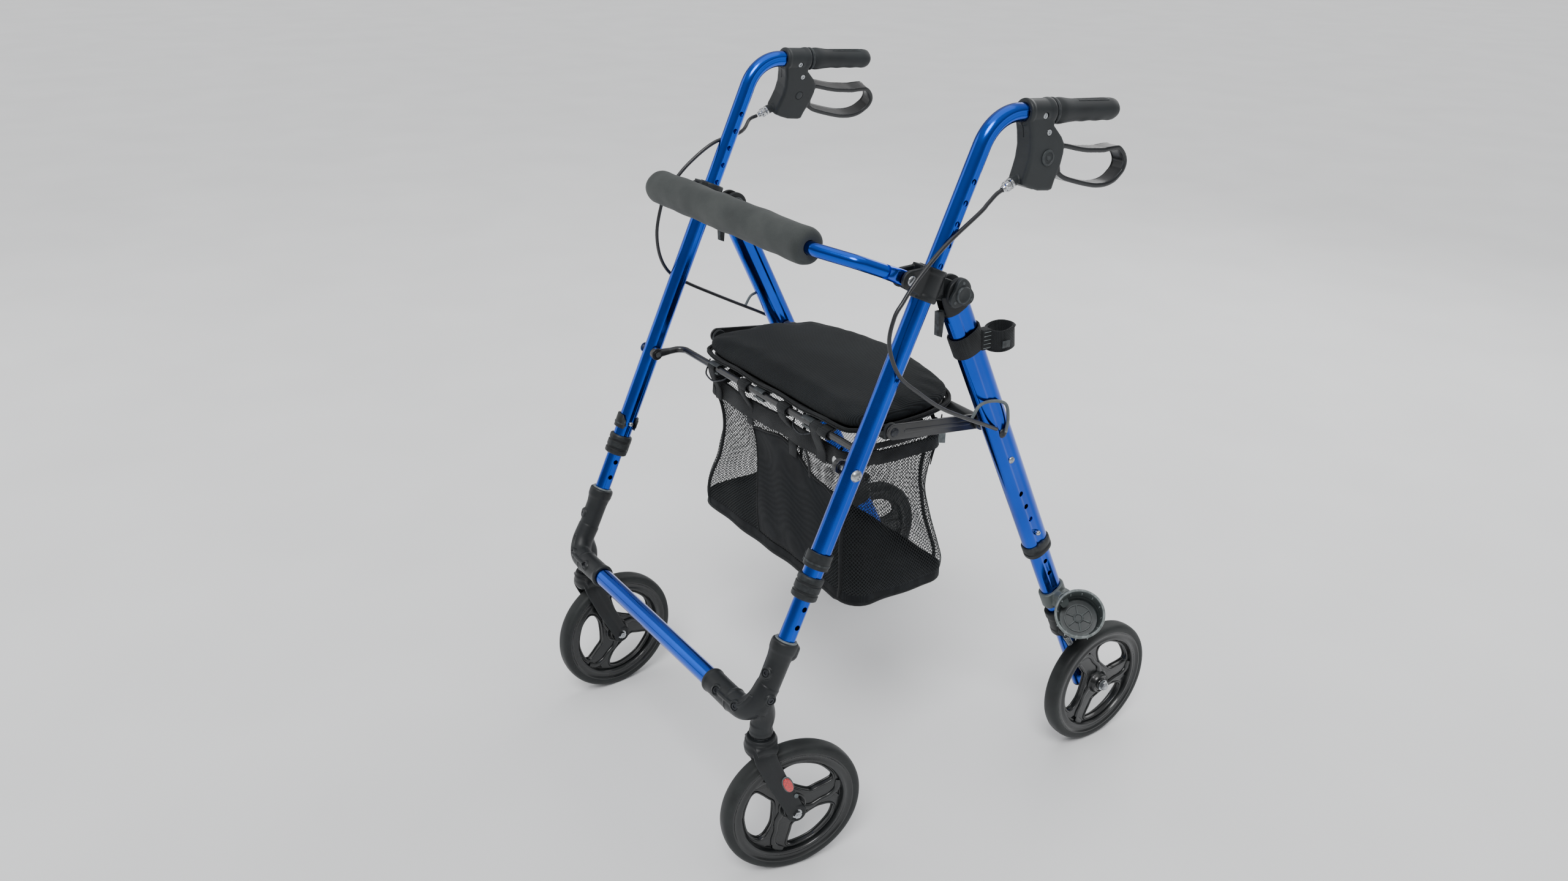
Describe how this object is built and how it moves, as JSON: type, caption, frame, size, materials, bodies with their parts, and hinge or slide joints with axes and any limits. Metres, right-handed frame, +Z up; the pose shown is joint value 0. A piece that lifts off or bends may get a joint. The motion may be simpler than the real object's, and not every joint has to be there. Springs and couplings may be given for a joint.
{
  "type": "rollator walker",
  "caption": "Folding four-wheel rollator walker with padded seat, mesh basket, foam backrest, height-adjustable handles and loop hand brakes.",
  "frame": {"origin": "on the floor, under the middle of the outer box; the legs are centred 15.8 mm towards the right of it", "axes": "+Z up, -Y the direction of travel, +X towards the user's left"},
  "size_m": [0.627, 0.7209, 0.9607],
  "materials": {
    "blue_anodised": "glossy blue anodised aluminium tube",
    "black_plastic": "fine-grained black moulded plastic",
    "grey_plastic": "dark grey moulded plastic",
    "black_casting": "black moulded structural fitting",
    "steel": "bright zinc-plated steel",
    "black_steel": "black powder-coated steel",
    "wheel_rubber": "one-piece black wheel and tread",
    "foam": "closed-cell foam sleeve",
    "seat_fabric": "ribbed dark grey seat fabric",
    "webbing": "woven webbing",
    "basket_mesh": "open polyester mesh with solid panels"
  },
  "bodies": {
    "frame": {"front_leg_left": "blue_anodised", "front_leg_right": "blue_anodised", "leg_end_collar_left": "black_plastic", "leg_end_collar_right": "black_plastic", "snap_clip_left": "black_plastic", "snap_clip_right": "black_plastic", "pivot_bracket_left": "black_casting", "pivot_bracket_right": "black_casting", "seat_pivot_bolt_left": "steel", "seat_pivot_bolt_right": "steel", "basket": "basket_mesh"},
    "front_carriage": {"front_inner_tube_left": "blue_anodised", "front_inner_tube_right": "blue_anodised", "caster_connector_left": "black_casting", "caster_connector_right": "black_casting", "front_crossbar": "blue_anodised"},
    "rear_frame": {"rear_leg_left": "blue_anodised", "rear_leg_right": "blue_anodised", "rear_leg_head_left": "black_plastic", "rear_leg_head_right": "black_plastic", "rear_cross_tube": "black_steel", "cane_strap": "webbing"},
    "seat": {"seat_pivot_rod": "black_steel", "seat_board": "black_plastic", "seat_pad": "seat_fabric"},
    "seat_links": {"seat_link_left": "black_steel", "seat_link_right": "black_steel"},
    "backrest": {"backrest_bar": "blue_anodised", "backrest_pad": "foam"},
    "caster_left": {"caster_fork_left": "black_plastic", "caster_axle_left": "steel"},
    "front_wheel_left": {"front_wheel_left": "wheel_rubber"},
    "rear_extension_left": {"rear_inner_tube_left": "blue_anodised", "brake_bracket_left": "black_plastic", "rear_axle_left": "steel", "cane_cup": "grey_plastic"},
    "rear_wheel_left": {"rear_wheel_left": "wheel_rubber"},
    "brake_shoe_left": {"brake_shoe_left": "black_plastic"},
    "handle_left": {"handle_tube_left": "blue_anodised", "grip_left": "grey_plastic", "brake_housing_left": "grey_plastic"},
    "lever_cam_left": {"lever_cam_left": "black_plastic"},
    "brake_lever_left": {"brake_lever_left": "black_plastic"},
    "front_button_left": {"front_snap_button_left": "steel"},
    "rear_button_left": {"rear_snap_button_left": "steel"},
    "caster_right": {"caster_fork_right": "black_plastic", "caster_axle_right": "steel"},
    "front_wheel_right": {"front_wheel_right": "wheel_rubber"},
    "rear_extension_right": {"rear_inner_tube_right": "blue_anodised", "brake_bracket_right": "black_plastic", "rear_axle_right": "steel"},
    "rear_wheel_right": {"rear_wheel_right": "wheel_rubber"},
    "brake_shoe_right": {"brake_shoe_right": "black_plastic"},
    "handle_right": {"handle_tube_right": "blue_anodised", "grip_right": "grey_plastic", "brake_housing_right": "grey_plastic"},
    "lever_cam_right": {"lever_cam_right": "black_plastic"},
    "brake_lever_right": {"brake_lever_right": "black_plastic"},
    "front_button_right": {"front_snap_button_right": "steel"},
    "rear_button_right": {"rear_snap_button_right": "steel"}
  },
  "joints": [
    {"name": "fold", "type": "hinge", "parent": "frame", "child": "rear_frame", "pos_m": [-0.01578, -0.04383, 0.7435], "axis": [1, 0, 0], "range_deg": [-28, 0]},
    {"name": "seat_flip", "type": "hinge", "parent": "frame", "child": "seat", "pos_m": [-0.01578, -0.18663, 0.5465], "axis": [1, 0, 0], "range_deg": [0, 57]},
    {"name": "seat_link_swing", "type": "hinge", "parent": "rear_frame", "child": "seat_links", "pos_m": [-0.01578, 0.04807, 0.5435], "axis": [1, 0, 0], "range_deg": [-15, 0]},
    {"name": "backrest_lift", "type": "hinge", "parent": "frame", "child": "backrest", "pos_m": [-0.01578, -0.11763, 0.771], "axis": [1, 0, 0], "range_deg": [-76, 0]},
    {"name": "front_height", "type": "slide", "parent": "frame", "child": "front_carriage", "axis": [0, 0.4149, 0.9099], "range_m": [0, 0.05], "stiffness_N_per_m": 40000},
    {"name": "caster_swivel_left", "type": "hinge", "parent": "front_carriage", "child": "caster_left", "pos_m": [0.22222, -0.30663, 0.2175], "axis": [0, 0, 1], "continuous": true},
    {"name": "front_wheel_spin_left", "type": "hinge", "parent": "caster_left", "child": "front_wheel_left", "pos_m": [0.23051, -0.26587, 0.09525], "axis": [0.9799, -0.1994, 0], "continuous": true},
    {"name": "rear_height_left", "type": "slide", "parent": "rear_frame", "child": "rear_extension_left", "axis": [0, -0.4359, 0.9], "range_m": [0, 0.05], "stiffness_N_per_m": 25000},
    {"name": "rear_wheel_spin_left", "type": "hinge", "parent": "rear_extension_left", "child": "rear_wheel_left", "pos_m": [0.25672, 0.2652, 0.09525], "axis": [1, 0, 0], "continuous": true},
    {"name": "brake_shoe_pivot_left", "type": "hinge", "parent": "rear_extension_left", "child": "brake_shoe_left", "pos_m": [0.24442, 0.20837, 0.2085], "axis": [1, 0, 0], "range_deg": [-6, 0]},
    {"name": "handle_height_left", "type": "slide", "parent": "frame", "child": "handle_left", "axis": [0, 0.4149, 0.9099], "range_m": [-0.125, 0], "stiffness_N_per_m": 5000},
    {"name": "brake_park_left", "type": "hinge", "parent": "handle_left", "child": "lever_cam_left", "pos_m": [0.22592, 0.07617, 0.888], "axis": [1, 0, 0], "range_deg": [-20, 0]},
    {"name": "brake_squeeze_left", "type": "hinge", "parent": "lever_cam_left", "child": "brake_lever_left", "pos_m": [0.22592, 0.07617, 0.888], "axis": [1, 0, 0], "range_deg": [0, 12]},
    {"name": "front_button_press_left", "type": "slide", "parent": "frame", "child": "front_button_left", "axis": [1, 0, 0], "range_m": [0, 0.0012]},
    {"name": "rear_button_press_left", "type": "slide", "parent": "rear_frame", "child": "rear_button_left", "axis": [-1, 0, 0], "range_m": [0, 0.0025]},
    {"name": "caster_swivel_right", "type": "hinge", "parent": "front_carriage", "child": "caster_right", "pos_m": [-0.25378, -0.30663, 0.2175], "axis": [0, 0, 1], "continuous": true},
    {"name": "front_wheel_spin_right", "type": "hinge", "parent": "caster_right", "child": "front_wheel_right", "pos_m": [-0.2561, -0.2651, 0.09525], "axis": [0.9984, 0.0558, 0], "continuous": true},
    {"name": "rear_height_right", "type": "slide", "parent": "rear_frame", "child": "rear_extension_right", "axis": [0, -0.4359, 0.9], "range_m": [0, 0.05], "stiffness_N_per_m": 25000},
    {"name": "rear_wheel_spin_right", "type": "hinge", "parent": "rear_extension_right", "child": "rear_wheel_right", "pos_m": [-0.28828, 0.2652, 0.09525], "axis": [1, 0, 0], "continuous": true},
    {"name": "brake_shoe_pivot_right", "type": "hinge", "parent": "rear_extension_right", "child": "brake_shoe_right", "pos_m": [-0.27598, 0.20837, 0.2085], "axis": [1, 0, 0], "range_deg": [-6, 0]},
    {"name": "handle_height_right", "type": "slide", "parent": "frame", "child": "handle_right", "axis": [0, 0.4149, 0.9099], "range_m": [-0.125, 0], "stiffness_N_per_m": 5000},
    {"name": "brake_park_right", "type": "hinge", "parent": "handle_right", "child": "lever_cam_right", "pos_m": [-0.27491, 0.07636, 0.89107], "axis": [0.9397, -0.0216, -0.3413], "range_deg": [-20, 0]},
    {"name": "brake_squeeze_right", "type": "hinge", "parent": "lever_cam_right", "child": "brake_lever_right", "pos_m": [-0.27491, 0.07636, 0.89107], "axis": [0.9397, -0.0216, -0.3413], "range_deg": [0, 12]},
    {"name": "front_button_press_right", "type": "slide", "parent": "frame", "child": "front_button_right", "axis": [-1, 0, 0], "range_m": [0, 0.0012]},
    {"name": "rear_button_press_right", "type": "slide", "parent": "rear_frame", "child": "rear_button_right", "axis": [1, 0, 0], "range_m": [0, 0.0025]}
  ],
  "couplings": [
    {"joint": "seat_flip", "follows": "fold", "ratio": -2.0179},
    {"joint": "seat_link_swing", "follows": "fold", "ratio": 0.5214},
    {"joint": "brake_shoe_pivot_left", "follows": "brake_squeeze_left", "ratio": -0.5},
    {"joint": "brake_shoe_pivot_right", "follows": "brake_squeeze_right", "ratio": -0.5}
  ]
}
